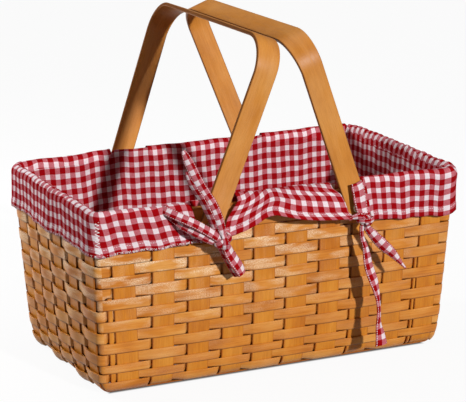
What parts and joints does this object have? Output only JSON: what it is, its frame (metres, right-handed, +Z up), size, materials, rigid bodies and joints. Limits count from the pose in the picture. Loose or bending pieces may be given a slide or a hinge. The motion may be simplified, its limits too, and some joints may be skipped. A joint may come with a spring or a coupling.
{
  "type": "picnic basket",
  "caption": "Rectangular woven chipwood picnic basket with a tied gingham liner folded over the rim and two bentwood handles that swing down to the ends.",
  "frame": {"origin": "on the table, in the middle of the whole object's bounding box", "axes": "+X along the basket's long side, -Y out of the front wall, +Z up"},
  "size_m": [0.402, 0.2808, 0.3578],
  "materials": {
    "chipwood": "clear satin varnish",
    "bentwood": "clear satin varnish",
    "gingham": "red and white woven gingham, matt",
    "rivet_metal": "dull"
  },
  "bodies": {
    "basket": {"upright_long_01": "chipwood", "upright_long_02": "chipwood", "upright_long_03": "chipwood", "upright_long_04": "chipwood", "upright_long_05": "chipwood", "upright_long_06": "chipwood", "upright_long_07": "chipwood", "upright_long_08": "chipwood", "upright_long_09": "chipwood", "upright_long_10": "chipwood", "upright_short_01": "chipwood", "upright_short_02": "chipwood", "upright_short_03": "chipwood", "upright_short_04": "chipwood", "upright_short_05": "chipwood", "upright_short_06": "chipwood", "corner_strip_left": "chipwood", "corner_strip_right": "chipwood", "weaver_01": "chipwood", "weaver_02": "chipwood", "weaver_03": "chipwood", "weaver_04": "chipwood", "weaver_05": "chipwood", "weaver_06": "chipwood", "weaver_07": "chipwood", "weaver_08": "chipwood", "weaver_09": "chipwood", "weaver_10": "chipwood", "weaver_11": "chipwood", "weaver_12": "chipwood", "weaver_13": "chipwood", "weaver_14": "chipwood", "rim_band_outer": "chipwood", "rim_band_inner": "chipwood", "rivet_front_left": "rivet_metal", "rivet_front_right": "rivet_metal", "rivet_back_left": "rivet_metal", "rivet_back_right": "rivet_metal", "liner_bag": "gingham", "cuff_left": "gingham", "cuff_right": "gingham", "cuff_front": "gingham", "cuff_back": "gingham", "tie_front_left": "gingham", "tie_front_right": "gingham", "tie_back_left": "gingham", "tie_back_right": "gingham"},
    "left_handle": {"handle_left": "bentwood"},
    "right_handle": {"handle_right": "bentwood"}
  },
  "joints": [
    {"name": "left_handle_pivot", "type": "hinge", "parent": "basket", "child": "left_handle", "pos_m": [-0.0812, 0, 0.17015], "axis": [0, -1, 0], "range_deg": [0, 155]},
    {"name": "right_handle_pivot", "type": "hinge", "parent": "basket", "child": "right_handle", "pos_m": [0.0812, 0, 0.17015], "axis": [0, 1, 0], "range_deg": [0, 155]}
  ]
}
